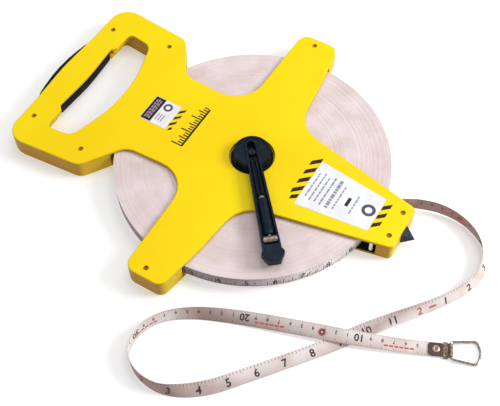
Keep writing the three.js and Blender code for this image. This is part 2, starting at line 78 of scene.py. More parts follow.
# ------------------------------------------------------------------ camera, floor and lights
def look_along(forward, roll=0.0):
    """Rotation whose -Z axis is forward, with +Y up, turned by roll in radians."""
    forward = forward.normalized()
    right = forward.cross(Vector((0, 0, 1))).normalized()
    up = right.cross(forward)
    turned_right = right * cos(roll) + up * sin(roll)
    turned_up = up * cos(roll) - right * sin(roll)
    return Matrix((turned_right, turned_up, -forward)).transposed().to_4x4()


def add_camera():
    azimuth = radians(CAMERA_AZIMUTH)
    elevation = radians(CAMERA_ELEVATION)
    forward = Vector((-sin(azimuth) * cos(elevation), cos(azimuth) * cos(elevation), -sin(elevation)))
    place = (Vector(CAMERA_AIM) - forward * CAMERA_DISTANCE) * MM
    camera = bpy.data.objects.new("camera", bpy.data.cameras.new("camera"))
    camera.data.sensor_width = 36
    camera.data.lens = CAMERA_LENS
    camera.matrix_world = Matrix.Translation(place) @ look_along(forward, radians(CAMERA_ROLL))
    bpy.context.scene.collection.objects.link(camera)
    bpy.context.scene.camera = camera


def add_softbox(name, place, size, watts):
    """A round lamp of that diameter in metres, shining at the middle of the reel."""
    light = bpy.data.lights.new(name, "AREA")
    light.shape = "DISK"
    light.size = size
    light.energy = watts
    lamp = bpy.data.objects.new(name, light)
    place = Vector(place)
    lamp.matrix_world = Matrix.Translation(place) @ look_along(-place)
    bpy.context.scene.collection.objects.link(lamp)


def add_studio():
    """A wide white floor that glows a little, an even white sky and two soft lamps."""
    half = 9.0
    corners = [(-half, -half, 0), (half, -half, 0), (half, half, 0), (-half, half, 0)]
    mesh = bpy.data.meshes.new("floor")
    mesh.from_pydata(corners, [], [(0, 1, 2, 3)])
    floor = bpy.data.objects.new("floor", mesh)
    bpy.context.scene.collection.objects.link(floor)
    material, _, shader = principled("floor_white", (0.83, 0.83, 0.83), 0.9)
    shader.inputs["Specular IOR Level"].default_value = 0.1
    shader.inputs["Emission Color"].default_value = (1, 1, 1, 1)
    shader.inputs["Emission Strength"].default_value = 0.3
    mesh.materials.append(material)

    world = bpy.data.worlds.new("studio")
    world.use_nodes = True
    sky = world.node_tree.nodes["Background"]
    sky.inputs["Color"].default_value = (1, 1, 1, 1)
    sky.inputs["Strength"].default_value = 0.62
    bpy.context.scene.world = world
    bpy.context.scene.view_settings.view_transform = "Standard"
    add_softbox("key", (1.1, 0.65, 0.85), 0.6, 13)
    add_softbox("overhead", (0.1, 0.5, 1.4), 0.9, 4)


# ------------------------------------------------------------------ materials
def principled(name, color, roughness, metallic=0.0):
    """A material with a Principled shader: (material, node tree, shader)."""
    material = bpy.data.materials.new(name)
    material.use_nodes = True
    tree = material.node_tree
    shader = tree.nodes["Principled BSDF"]
    shader.inputs["Base Color"].default_value = (*color, 1)
    shader.inputs["Roughness"].default_value = roughness
    shader.inputs["Metallic"].default_value = metallic
    return material, tree, shader


def node(tree, kind, **settings):
    """A new shader node. Each setting is one of its properties, or an input in small letters."""
    made = tree.nodes.new(kind)
    for name, value in settings.items():
        if hasattr(made, name):
            setattr(made, name, value)
        else:
            made.inputs[name.replace("_", " ").title()].default_value = value
    return made


def object_place(tree, scale=(1, 1, 1)):
    """Object coordinates in metres, stretched by scale."""
    coordinates = node(tree, "ShaderNodeTexCoord")
    mapping = node(tree, "ShaderNodeMapping")
    mapping.inputs["Scale"].default_value = scale
    tree.links.new(coordinates.outputs["Object"], mapping.inputs["Vector"])
    return mapping.outputs["Vector"]


def noise(tree, scale, detail, stretch=(1, 1, 1)):
    """A cloudy value from 0 to 1, in object space."""
    made = node(tree, "ShaderNodeTexNoise", scale=scale, detail=detail)
    tree.links.new(object_place(tree, stretch), made.inputs["Vector"])
    return made.outputs["Fac"]


def ramp(tree, value, *stops):
    """Turns a value into a colour; each stop is (position, (r, g, b))."""
    made = node(tree, "ShaderNodeValToRGB")
    elements = made.color_ramp.elements
    while len(elements) < len(stops):
        elements.new(1.0)
    for element, (position, color) in zip(elements, stops):
        element.position = position
        element.color = (*color, 1)
    tree.links.new(value, made.inputs["Fac"])
    return made.outputs["Color"]


def spread(tree, value, low, high):
    """Maps a value of about 0.3 to 0.7 on to low to high."""
    made = node(tree, "ShaderNodeMapRange")
    for name, number in (("From Min", 0.3), ("From Max", 0.7), ("To Min", low), ("To Max", high)):
        made.inputs[name].default_value = number
    tree.links.new(value, made.inputs["Value"])
    return made.outputs["Result"]


def mixed(tree, factor, first, second, blend="MIX"):
    """Mixes two colours. The factor and the colours are sockets or plain values."""
    made = node(tree, "ShaderNodeMix", data_type="RGBA", blend_type=blend)
    for name, kind, source in (("Factor", "VALUE", factor), ("A", "RGBA", first), ("B", "RGBA", second)):
        socket = next(s for s in made.inputs if s.name == name and s.type == kind)
        if isinstance(source, bpy.types.NodeSocket):
            tree.links.new(source, socket)
        else:
            socket.default_value = source if kind == "VALUE" else (*source, 1)
    return next(s for s in made.outputs if s.type == "RGBA")


def bumped(tree, shader, *heights):
    """Adds bumps one on another; each is (height value, depth in mm, strength)."""
    before = None
    for height, depth, strength in heights:
        made = node(tree, "ShaderNodeBump")
        made.inputs["Strength"].default_value = strength
        made.inputs["Distance"].default_value = depth * MM
        tree.links.new(height, made.inputs["Height"])
        if before:
            tree.links.new(before, made.inputs["Normal"])
        before = made.outputs["Normal"]
    tree.links.new(before, shader.inputs["Normal"])


def math_node(tree, operation, *values):
    """Arithmetic on sockets or plain numbers."""
    made = node(tree, "ShaderNodeMath", operation=operation)
    for socket, value in zip(made.inputs, values):
        if isinstance(value, bpy.types.NodeSocket):
            tree.links.new(value, socket)
        else:
            socket.default_value = value
    return made.outputs["Value"]


FORWARD_FROM = 0.42     # the normal's X from which a face counts as facing forward and gets less painted shade


def upright(tree, power, paler_forward):
    """How far a face stands upright, from 0 to 1: the mask for painted shade on upright faces.

    A higher power counts a leaning face as upright sooner. paler_forward takes painted shade away
    from the faces that look toward +X, where the key lamp falls.
    """
    normal = node(tree, "ShaderNodeSeparateXYZ")
    tree.links.new(node(tree, "ShaderNodeNewGeometry").outputs["Normal"], normal.inputs["Vector"])
    level = math_node(tree, "POWER", math_node(tree, "ABSOLUTE", normal.outputs["Z"]), power)
    past = math_node(tree, "SUBTRACT", normal.outputs["X"], FORWARD_FROM)
    forward = math_node(tree, "MULTIPLY", math_node(tree, "MAXIMUM", past, 0.0), paler_forward)
    steep_shade = math_node(tree, "SUBTRACT", 1.0, level)
    return math_node(tree, "MULTIPLY", steep_shade, math_node(tree, "SUBTRACT", 1.0, forward))


def yellow_plastic():
    """Moulded ABS: deep yellow, with painted shade that browns its upright faces, and a fine spark-eroded
    grain.
    """
    material, tree, shader = principled("yellow_plastic", (0.96, 0.71, 0.0), 0.42)
    clouds = ramp(tree, noise(tree, 9, 5), (0.35, (0.96, 0.67, 0.0)), (0.65, (0.97, 0.74, 0.0)))
    # painted shade: upright faces turn brown, less so where they face +X
    with_painted_shade = mixed(tree, upright(tree, 1.0, 1.0), clouds, (0.4, 0.2, 0.011))
    tree.links.new(with_painted_shade, shader.inputs["Base Color"])
    scuffs = noise(tree, 60, 6, (1, 1, 0.2))
    tree.links.new(spread(tree, scuffs, 0.34, 0.52), shader.inputs["Roughness"])
    shader.inputs["Specular IOR Level"].default_value = 0.18
    bumped(tree, shader, (noise(tree, 25, 2), 0.15, 0.25), (noise(tree, 1500, 2), 0.02, 0.35))
    return material


def dark_plastic(name, color, light, roughness, grain):
    """Dark moulded plastic with faint paler scuffs and a fine grain."""
    material, tree, shader = principled(name, color, roughness)
    scuffs = noise(tree, 140, 8, (1, 1, 0.4))
    tree.links.new(ramp(tree, scuffs, (0.5, color), (0.72, light)), shader.inputs["Base Color"])
    dull = spread(tree, noise(tree, 70, 4), roughness - 0.08, roughness + 0.1)
    tree.links.new(dull, shader.inputs["Roughness"])
    bumped(tree, shader, (noise(tree, grain, 3), 0.04, 0.5))
    shader.inputs["Specular IOR Level"].default_value = 0.14
    return material


def rubber():
    """Soft grip with a pebbled skin."""
    material, tree, shader = principled("black_rubber", (0.006, 0.006, 0.007), 0.7)
    cells = node(tree, "ShaderNodeTexVoronoi", scale=900.0)
    tree.links.new(object_place(tree), cells.inputs["Vector"])
    dusty = ramp(tree, noise(tree, 90, 6), (0.45, (0.004, 0.004, 0.005)), (0.75, (0.016, 0.016, 0.017)))
    tree.links.new(dusty, shader.inputs["Base Color"])
    shader.inputs["Specular IOR Level"].default_value = 0.15
    bumped(tree, shader, (cells.outputs["Distance"], 0.12, 0.6))
    return material


def wound_turns(tree):
    """A fine value from 0 to 1 that changes only with the distance from the axle."""
    place = node(tree, "ShaderNodeSeparateXYZ")
    tree.links.new(object_place(tree), place.inputs["Vector"])
    flat = node(tree, "ShaderNodeCombineXYZ")
    tree.links.new(place.outputs["X"], flat.inputs["X"])
    tree.links.new(place.outputs["Y"], flat.inputs["Y"])
    radius = node(tree, "ShaderNodeVectorMath", operation="LENGTH")
    tree.links.new(flat.outputs["Vector"], radius.inputs[0])
    turns = node(tree, "ShaderNodeTexNoise", noise_dimensions="1D", scale=420.0, detail=6.0)
    tree.links.new(radius.outputs["Value"], turns.inputs["W"])
    return turns.outputs["Fac"]


def tape_film(name, warm, pale, side_wound=False, steep_shade=(0.33, 0.21, 0.19), paler_forward=4.0):
    """PVC-coated glass-fibre tape, with painted shade that darkens it toward steep_shade where it stands
    upright.

    side_wound is for the coil's sides, where the tape's edges show as fine concentric turns.
    """
    material, tree, shader = principled(name, pale, 0.45)
    shader.inputs["Specular IOR Level"].default_value = 0.3
    color = ramp(tree, noise(tree, 45, 5), (0.35, warm), (0.65, pale))
    if side_wound:
        turns = wound_turns(tree)
        bands = ramp(tree, turns, (0.3, (0.74, 0.68, 0.68)), (0.6, (1, 1, 1)))
        color = mixed(tree, 0.22, color, bands, "MULTIPLY")
        bumped(tree, shader, (turns, 0.07, 0.4))
        shader.inputs["Anisotropic"].default_value = 0.8
        tangent = node(tree, "ShaderNodeTangent", direction_type="RADIAL", axis="Z")
        tree.links.new(tangent.outputs["Tangent"], shader.inputs["Tangent"])
    else:
        # painted shade: upright faces darken toward steep_shade, less where they face +X
        color = mixed(tree, upright(tree, 4.0, paler_forward), color, steep_shade)
        bumped(tree, shader, (noise(tree, 1200, 2), 0.03, 0.5))
    tree.links.new(color, shader.inputs["Base Color"])
    return material


def ink(name, color):
    """Slightly worn print, faded in spots a fifth of the way to light grey."""
    material, tree, shader = principled(name, color, 0.5)
    shader.inputs["Specular IOR Level"].default_value = 0.2
    faded = tuple(c + (0.55 - c) * 0.2 for c in color)
    wear = ramp(tree, noise(tree, 700, 4), (0.55, color), (0.8, faded))
    tree.links.new(wear, shader.inputs["Base Color"])
    return material


def metal(name, pale, dark, roughness, scale=400):
    """Plated or cast metal with dull patches and fine marks."""
    material, tree, shader = principled(name, pale, roughness, 1.0)
    patches = noise(tree, scale, 6)
    tree.links.new(ramp(tree, patches, (0.35, dark), (0.65, pale)), shader.inputs["Base Color"])
    tree.links.new(spread(tree, patches, roughness + 0.15, roughness - 0.05), shader.inputs["Roughness"])
    bumped(tree, shader, (patches, 0.03, 0.4))
    return material


def label_film():
    """Glossy white film with a faint cold tint."""
    material, tree, shader = principled("label_film", (0.82, 0.83, 0.87), 0.28)
    tint = ramp(tree, noise(tree, 70, 4), (0.35, (0.78, 0.80, 0.86)), (0.65, (0.9, 0.9, 0.92)))
    tree.links.new(tint, shader.inputs["Base Color"])
    bumped(tree, shader, (noise(tree, 120, 2), 0.05, 0.3))
    return material


def vinyl():
    """Reinforced reddish-brown vinyl with a woven grain."""
    material, tree, shader = principled("brown_vinyl", (0.07, 0.022, 0.018), 0.45)
    threads = [
        node(tree, "ShaderNodeTexWave", wave_type="BANDS", bands_direction=way, scale=260.0, distortion=0.5)
        for way in ("X", "Y")
    ]
    for wave in threads:
        tree.links.new(object_place(tree), wave.inputs["Vector"])
    weave = math_node(tree, "MULTIPLY", threads[0].outputs["Fac"], threads[1].outputs["Fac"])
    stain = ramp(tree, noise(tree, 220, 5), (0.35, (0.034, 0.011, 0.01)), (0.7, (0.1, 0.034, 0.028)))
    tree.links.new(stain, shader.inputs["Base Color"])
    bumped(tree, shader, (weave, 0.08, 0.6))
    return material


def plain_nylon():
    """Off-white nylon, a little translucent."""
    material, tree, shader = principled("white_nylon", (0.8, 0.79, 0.75), 0.4)
    shader.inputs["Subsurface Weight"].default_value = 0.1
    shade = ramp(tree, noise(tree, 200, 4), (0.35, (0.74, 0.72, 0.66)), (0.65, (0.84, 0.83, 0.8)))
    tree.links.new(shade, shader.inputs["Base Color"])
    bumped(tree, shader, (noise(tree, 800, 2), 0.03, 0.4))
    return material


# ------------------------------------------------------------------ making pieces
def new_piece(name, mesh, materials, body, slot, *nodes):
    """An object for a mesh in metres, riding on a body and standing for CAD nodes."""
    for material in materials:
        mesh.materials.append(material)
    piece = bpy.data.objects.new(name, mesh)
    bpy.context.scene.collection.objects.link(piece)
    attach(piece, body)
    if nodes:
        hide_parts(*nodes)
    return piece


def mesh_of(name, points, faces, bend=30):
    """A mesh from points in millimetres, smooth but for edges that bend more than bend degrees."""
    mesh = bpy.data.meshes.new(name)
    mesh.from_pydata([Vector(p) * MM for p in points], [], faces)
    mesh.update()
    smooth(mesh, bend)
    return mesh


def smooth(mesh, bend=30):
    """Shades a mesh smooth but for edges that bend more than bend degrees."""
    mesh.polygons.foreach_set("use_smooth", [True] * len(mesh.polygons))
    mesh.set_sharp_from_angle(angle=radians(bend))


def weighted(piece):
    """Shades each large flat face flat, next to its rounded edges."""
    modifier = piece.modifiers.new("normals", "WEIGHTED_NORMAL")
    modifier.keep_sharp = True
    modifier.weight = 100


def body_of(name):
    """The body that a CAD node rides on."""
    bodies = frame["record"]["behaviour"]["bodies"]
    return next(body for body, members in bodies.items() if name in members)


def slot_of(name):
    """The material slot of a CAD node."""
    return next(part["material_slot"] for part in frame["record"]["subparts"] if part["node"] == name)


WELD_DISTANCE = 0.002   # points of a CAD mesh nearer than this are one point
FLAT_BEND = 0.6         # degrees: an edge that bends less is dissolved
SHARP_BEND = 35         # degrees: an edge that bends more is rounded


def refined(name, material, rounding=None, where=None, segments=2):
    """A copy of a CAD node with rounded edges.

    where is [(rounding, chosen), ...], where chosen picks edges by their middle in mm. Without
    it every sharp edge gets the same rounding.
    """
    mesh = frame["nodes"][name].data.copy()
    mesh.name = name + "_look"
    mesh.materials.clear()
    shape = bmesh.new()
    shape.from_mesh(mesh)
    bmesh.ops.remove_doubles(shape, verts=shape.verts, dist=WELD_DISTANCE * MM)
    bmesh.ops.dissolve_limit(shape, angle_limit=radians(FLAT_BEND), verts=shape.verts, edges=shape.edges)
    for width, chosen in where or [(rounding, None)]:
        edges = [
            edge for edge in shape.edges
            if edge.is_manifold and edge.calc_face_angle(0) > radians(SHARP_BEND)
            and (chosen is None or chosen(*((edge.verts[0].co + edge.verts[1].co) / 2 / MM)))
        ]
        bmesh.ops.bevel(
            shape, geom=edges, offset=width * MM, segments=segments, profile=0.5,
            affect="EDGES", clamp_overlap=chosen is None)
    shape.to_mesh(mesh)
    shape.free()
    smooth(mesh)
    piece = new_piece(name + "_look", mesh, [material], body_of(name), slot_of(name), name)
    weighted(piece)
    return piece


# Ink numbers, the places of the inks in a print's list
BLACK = 0
RED = 1                         # on the tape
GREY, VIOLET, PLUM = 1, 2, 3    # on the labels


class Print:
    """Flat shapes printed on a surface. place(s, v) gives the surface point in mm, lifted clear."""

    def __init__(self, place):
        self.place = place
        self.points = []
        self.faces = []
        self.inks = []

    def shape(self, outline, ink_number=BLACK, lift=0.0):
        """Prints one polygon, given as [(s, v), ...]. lift stands it over an earlier print."""
        first = len(self.points)
        self.points += [self.place(s, v) + Vector((0, 0, lift)) for s, v in outline]
        self.faces.append(tuple(range(first, len(self.points))))
        self.inks.append(ink_number)

    def bar(self, s0, s1, v0, v1, ink_number=BLACK, step=4.0, lift=0.0):
        """Prints a rectangle in lengths of at most step, so that it follows a curved surface."""
        count = max(1, ceil(abs(s1 - s0) / step))
        for i in range(count):
            a, b = (s0 + (s1 - s0) * k / count for k in (i, i + 1))
            self.shape([(a, v0), (b, v0), (b, v1), (a, v1)], ink_number, lift)

    def ring(self, s, v, inner, outer, ink_number=BLACK, count=24):
        """Prints a ring centred on (s, v) in count pieces."""
        rim = [(cos(2 * pi * i / count), sin(2 * pi * i / count)) for i in range(count)]
        for (c0, s0), (c1, s1) in zip(rim, rim[1:] + rim[:1]):
            self.shape([
                (s + inner * c0, v + inner * s0), (s + outer * c0, v + outer * s0),
                (s + outer * c1, v + outer * s1), (s + inner * c1, v + inner * s1)], ink_number)

    def number(self, value, s, v, height, up=1, ink_number=BLACK):
        """Prints a figure centred on (s, v), its top toward +v, or toward -v where up is -1."""
        for triangle in figure(str(value)):
            self.shape([(s + x * height, v + up * y * height) for x, y in triangle], ink_number)

    def mesh(self, name):
        """The print as a mesh of its own."""
        made = mesh_of(name, self.points, self.faces)
        made.polygons.foreach_set("material_index", self.inks)
        return made


@cache
def figure(text):
    """Triangles of a number one unit high, centred on the origin."""
    curve = bpy.data.curves.new("figure", "FONT")
    curve.body = text
    curve.align_x = "CENTER"
    curve.offset = 0.025
    curve.resolution_u = 3
    drawn = bpy.data.objects.new("figure", curve)
    bpy.context.scene.collection.objects.link(drawn)
    mesh = drawn.evaluated_get(bpy.context.evaluated_depsgraph_get()).to_mesh()
    levels = [point.co.y for point in mesh.vertices]
    height = max(levels) - min(levels)
    middle = (min(levels) + max(levels)) / 2
    scaled = [(point.co.x / height, (point.co.y - middle) / height) for point in mesh.vertices]
    mesh.calc_loop_triangles()
    triangles = [[scaled[i] for i in triangle.vertices] for triangle in mesh.loop_triangles]
    bpy.data.objects.remove(drawn)
    bpy.data.curves.remove(curve)
    return triangles


# ------------------------------------------------------------------ the free tape
# The route of part.mjs: the lower edge's place [x, y, z] and its lean in degrees from upright,
# to the left of the way it runs from the mouth to the end ring.
FREE_TAPE = [
    (139.2, 27.4, 4, 0), (149.5, 33, 3.6, 4), (158.5, 37, 3, 8), (173, 42.3, 1.8, 7), (188, 44.2, 0.9, 3),
    (202, 42.6, 0.5, -3), (215, 37.5, 0.4, -7), (226.5, 29.3, 0.4, -14), (235, 18.5, 0.4, -24),
    (239.5, 1.5, 0.4, -30), (234.5, -20, 0.4, -28), (223.5, -40, 0.4, -26), (209, -61, 0.4, -32),
    (193.5, -82, 0.4, -46), (177, -105, 0.4, -64), (159, -131, 0.4, -78), (137, -159.5, 0.4, -82),
    (112, -191, 0.4, -75), (90, -217, 0.4, -57), (69, -232, 0.4, -35), (50, -238, 0.4, -15),
    (31, -236, 0.4, -4), (17.5, -229, 0.4, 0), (9.8, -219.5, 0.4, 3), (7.8, -208, 0.4, 7),
    (10.5, -194, 0.4, 11), (20, -179.5, 0.4, 17), (39, -165.8, 0.5, 28), (65.5, -154, 0.8, 43),
    (96, -143.3, 2, 58), (129.5, -132.3, 3.4, 68), (164, -120.7, 4, 76), (194, -109, 3, 82),
    (216, -99.6, 1.9, 86), (232.7, -91.8, 1.5, 88),
]


def through(points, steps):
    """A smooth curve of so many steps through the points: a centripetal Catmull-Rom spline."""
    made = []
    last = len(points) - 1
    for k in range(steps + 1):
        i = min(k * last // steps, last - 1)
        t = k * last / steps - i
        b, c = points[i], points[i + 1]
        a = points[i - 1] if i > 0 else 2 * b - c
        d = points[i + 2] if i + 2 <= last else 2 * c - b
        ab, bc, cd = ((q - p).length ** 0.5 for p, q in ((a, b), (b, c), (c, d)))
        start = ((b - a) / ab - (c - a) / (ab + bc) + (c - b) / bc) * bc
        end = ((c - b) / bc - (d - b) / (bc + cd) + (d - c) / cd) * bc
        place = b + start * t
        place += (3 * (c - b) - 2 * start - end) * t * t
        place += (2 * (b - c) + start + end) * t ** 3
        made.append(place)
    return made


class Ribbon:
    """A tape standing or leaning along a route. s runs back from its far end, v up its width."""

    def __init__(self, route, steps):
        low = through([Vector(p[:3]) for p in route], steps)
        leans = through([Vector((i, p[3], 0)) for i, p in enumerate(route)], steps)
        self.stations = []
        for i, place in enumerate(low):
            run = low[min(i + 1, steps)] - low[max(i - 1, 0)]
            run = Vector((run.x, run.y, 0)).normalized()
            left = Vector((-run.y, run.x, 0))
            lean = radians(leans[i].y)
            across = left * sin(lean) + Vector((0, 0, cos(lean)))
            self.stations.append((place, across, run.cross(across)))
        self.middle = [place + across * TAPE_WIDTH / 2 for place, across, _ in self.stations]
        runs = [(b - a).length for a, b in zip(self.middle, self.middle[1:])]
        self.length = sum(runs)
        self.places = [self.length - sum(runs[:i]) for i in range(steps + 1)]

    def printed(self, side, lift):
        """The place on the right-hand (1) or left-hand (-1) face, stood off by lift."""
        def place(s, v):
            i = next((k for k, at in enumerate(self.places[1:]) if at <= s), len(self.places) - 2)
            t = (self.places[i] - s) / (self.places[i] - self.places[i + 1])
            near, far = (
                low + across * v + normal * side * (TAPE_THICKNESS / 2 + lift)
                for low, across, normal in self.stations[i:i + 2])
            return near.lerp(far, t)
        return place


STEPS_PER_POINT = 8
CORNER_WIDTH = 0.3      # how far each corner of the tape's section is cut, across the tape
CORNER_DEPTH = 0.15     # and into its thickness
UNPRINTED = 14          # the length by the mouth without marks


def add_free_tape(materials):
    """The drawn-out tape, its two printed faces joined to it."""
    ribbon = Ribbon(FREE_TAPE, STEPS_PER_POINT * (len(FREE_TAPE) - 1))
    half = TAPE_THICKNESS / 2
    section = [(0, CORNER_DEPTH - half), (0, half - CORNER_DEPTH), (CORNER_WIDTH, half)]
    section += [(TAPE_WIDTH / 2, half), (TAPE_WIDTH - CORNER_WIDTH, half)]
    section += [(TAPE_WIDTH - v, -n) for v, n in section]
    points = [low + across * v + normal * n for low, across, normal in ribbon.stations for v, n in section]
    wide = len(section)
    faces = [
        (i * wide + k, (i + 1) * wide + k, (i + 1) * wide + (k + 1) % wide, i * wide + (k + 1) % wide)
        for i in range(len(ribbon.stations) - 1) for k in range(wide)
    ]
    faces.append(tuple(range(wide)))
    faces.append(tuple(reversed(range(len(points) - wide, len(points)))))

    inches = Print(ribbon.printed(-1, INK_LIFT))
    print_inches(inches, 0, ribbon.length - UNPRINTED)
    metric = Print(ribbon.printed(1, INK_LIFT))
    print_centimetres(metric, 3, ribbon.length - UNPRINTED)
    inks = [0] * len(faces)
    for face_print in (inches, metric):
        first = len(points)
        points += face_print.points
        faces += [tuple(first + i for i in face) for face in face_print.faces]
        inks += [1 + number for number in face_print.inks]
    mesh = mesh_of("free_tape_look", points, faces)
    mesh.polygons.foreach_set("material_index", inks)
    piece = new_piece("free_tape_look", mesh, materials, "frame", "tape", "free_tape")
    return piece, ribbon


INCH_ZERO = -48.0       # where each scale would start, past the tape's far end
METRIC_ZERO = -38.0
MARGIN = 0.35           # from the tape's edge to its ticks
METRIC_TICK = 2         # between the metric face's ticks
DASH_ROW_PITCH = 112
DASH_PITCH = 4.4


def print_inches(sheet, start, end):
    """Inch numerals with eighth ticks along the upper edge, and a red mark at each foot."""
    first_tick = ceil((start - INCH_ZERO) * 8 / INCH)
    last_tick = int((end - INCH_ZERO) * 8 / INCH)
    for i in range(first_tick, last_tick + 1):
        s = INCH_ZERO + i * INCH / 8
        long = 4.2 if i % 8 == 0 else 3.0 if i % 4 == 0 else 2.2
        sheet.bar(s - 0.16, s + 0.16, TAPE_WIDTH - MARGIN - long, TAPE_WIDTH - MARGIN)
        feet, inches = divmod(i // 8, 12)
        if i % 8 == 0 and inches:
            sheet.number(inches, s, 5.6, 7.2)
        elif i % 8 == 0:
            sheet.number(feet, s, 5.6, 7.4, ink_number=RED)
            sheet.bar(s + 9, s + 16, 4.4, 6.4, RED)


def print_centimetres(sheet, start, end):
    """Centimetre figures read from the other edge, with ticks on both, red rings and dashes."""
    first_tick = ceil((start - METRIC_ZERO) / METRIC_TICK)
    last_tick = int((end - METRIC_ZERO) / METRIC_TICK)
    for i in range(first_tick, last_tick + 1):
        s = METRIC_ZERO + i * METRIC_TICK
        long = 3.0 if i % 5 == 0 else 1.3
        sheet.bar(s - 0.13, s + 0.13, MARGIN, MARGIN + long * 0.8)
        sheet.bar(s - 0.13, s + 0.13, TAPE_WIDTH - MARGIN - long * 0.7, TAPE_WIDTH - MARGIN)
        if i % 50 == 0:
            sheet.number(i // 5, s, 7.2, 6.6, up=-1)
            if i % 100:
                sheet.ring(s + 32, 6.4, 2.2, 3.4, RED)
                sheet.ring(s + 32, 6.4, 1.1, 2.2)
        elif i % 5 == 0:
            sheet.number(i // 5 % 10, s, 8.2, 3.2, up=-1)
    for row in range(int((end - 40) / DASH_ROW_PITCH) + 1):
        for k in range(6):
            s = 15 + DASH_ROW_PITCH * row + DASH_PITCH * k
            sheet.bar(s, s + 3.5, 3.7, 5.3, RED)


# ------------------------------------------------------------------ the wound coil
TURN_PACKS = 110            # groups of turns that lie at one level
COIL_SIDES = 192            # flat lengths that make up its round rim
UNEVEN = 0.08               # how far one pack may lie below the next, and the dip between them
PACK_SLOPE = 0.1
COIL_CORE_EDGE = 0.3        # how far the coil's inner and outer edges are broken
COIL_RIM_EDGE = 0.35
FLECK_PITCH = 1.6           # between the ink flecks that the wound turns show on the rim


def coil_profile():
    """The coil's section as [(radius, height), ...], and the place in it where the rim begins."""
    pitch = (COIL_RADIUS - CORE_RADIUS) / TURN_PACKS
    top = []
    for i in range(TURN_PACKS):
        drop = random.uniform(0, UNEVEN)
        near, far = CORE_RADIUS + i * pitch, CORE_RADIUS + (i + 1) * pitch
        top += [(near + PACK_SLOPE, drop), (far - PACK_SLOPE, drop), (far, drop + UNEVEN)]
    top.pop()
    profile = [(CORE_RADIUS, TAPE_HIGH - COIL_CORE_EDGE)] + [(r, TAPE_HIGH - drop) for r, drop in top]
    profile += [(COIL_RADIUS, TAPE_HIGH - COIL_RIM_EDGE), (COIL_RADIUS, TAPE_LOW + COIL_RIM_EDGE)]
    profile += [(r, TAPE_LOW + drop) for r, drop in reversed(top)]
    profile.append((CORE_RADIUS, TAPE_LOW + COIL_CORE_EDGE))
    return profile, len(top) + 1


def on_rim(s, v):
    """The place s round the coil's rim and v up it, lifted clear for print."""
    angle = s / COIL_RADIUS
    reach = COIL_RADIUS + INK_LIFT
    return Vector((reach * cos(angle), reach * sin(angle), TAPE_LOW + v))


def add_coil(side_material, rim_material):
    """The wound tape: shallow steps between packs of turns, and print showing on the rim."""
    random.seed(7)
    profile, rim = coil_profile()
    count = len(profile)
    angles = [2 * pi * k / COIL_SIDES for k in range(COIL_SIDES)]
    points = [(r * cos(angle), r * sin(angle), z) for angle in angles for r, z in profile]
    faces = []
    inks = []
    for k in range(COIL_SIDES):
        onward = (k + 1) % COIL_SIDES
        for i in range(count):
            j = (i + 1) % count
            faces.append((k * count + j, k * count + i, onward * count + i, onward * count + j))
            inks.append(1 if i == rim else 0)

    sheet = Print(on_rim)
    around = 2 * pi * COIL_RADIUS
    print_inches(sheet, 0, around - INCH)
    for i in range(int(around / FLECK_PITCH)):
        s = FLECK_PITCH * i
        half = random.uniform(0.12, 0.45)
        sheet.bar(s - half, s + half, 0.5, random.uniform(1.5, 8.5))
    first = len(points)
    points += sheet.points
    faces += [tuple(first + i for i in face) for face in sheet.faces]
    inks += [2 + number for number in sheet.inks]
    mesh = mesh_of("tape_coil_look", points, faces, 60)
    mesh.polygons.foreach_set("material_index", inks)
    materials = [side_material, rim_material, TAPE_INK, RED_INK]
    new_piece("tape_coil_look", mesh, materials, "reel", "tape", "tape_coil")


# ------------------------------------------------------------------ labels and frame marks
WHOLE = 60      # a step longer than any bar on a flat face, so that each is one piece


def on_level(z):
    """The place of a print on a flat face at the height z."""
    return lambda x, y: Vector((x, y, z))


def slanted(sheet, x0, x1, y, rise, thick):
    """A stripe that rises from y by rise, with its ends at x0 and x1 parallel to Y."""
    sheet.shape([(x0, y), (x1, y + rise), (x1, y + rise + thick), (x0, y + thick)])


def add_frame_print():
    """Slanted stripes beside the labels, and a plain graduated bar."""
    sheet = Print(on_level(FRAME_TOP + INK_LIFT))
    for y in (17.5, 5.6, -6.4, -18.4):
        slanted(sheet, 51.8, 60.4, y, 7.8, 5.8)
    slanted(sheet, 54.4, 60.4, -25.2, 4.4, 5.2)
    for y in (6, -4.8, -15.2):
        slanted(sheet, 133, 139.8, y, 6, 5.2)
    for y in (6, -2.2, -10.8):
        slanted(sheet, -89, -83.6, y, 5.4, 3.8)
    slanted(sheet, -86.5, -83.6, -15.6, 2.4, 3.4)
    bar_x, bar_start, bar_end = -65, -25, 26.6
    sheet.bar(bar_x, bar_x + 2, bar_start, bar_end, step=WHOLE)
    for k in range(18):
        y = bar_start + 3 * k
        reach = 11 if k % 6 == 0 else 8 if k % 3 == 0 else 5
        sheet.bar(bar_x - reach, bar_x, y, y + 1.4, step=WHOLE)
    new_piece("frame_print", sheet.mesh("frame_print"), [BLACK_INK], "frame", "black_plastic")


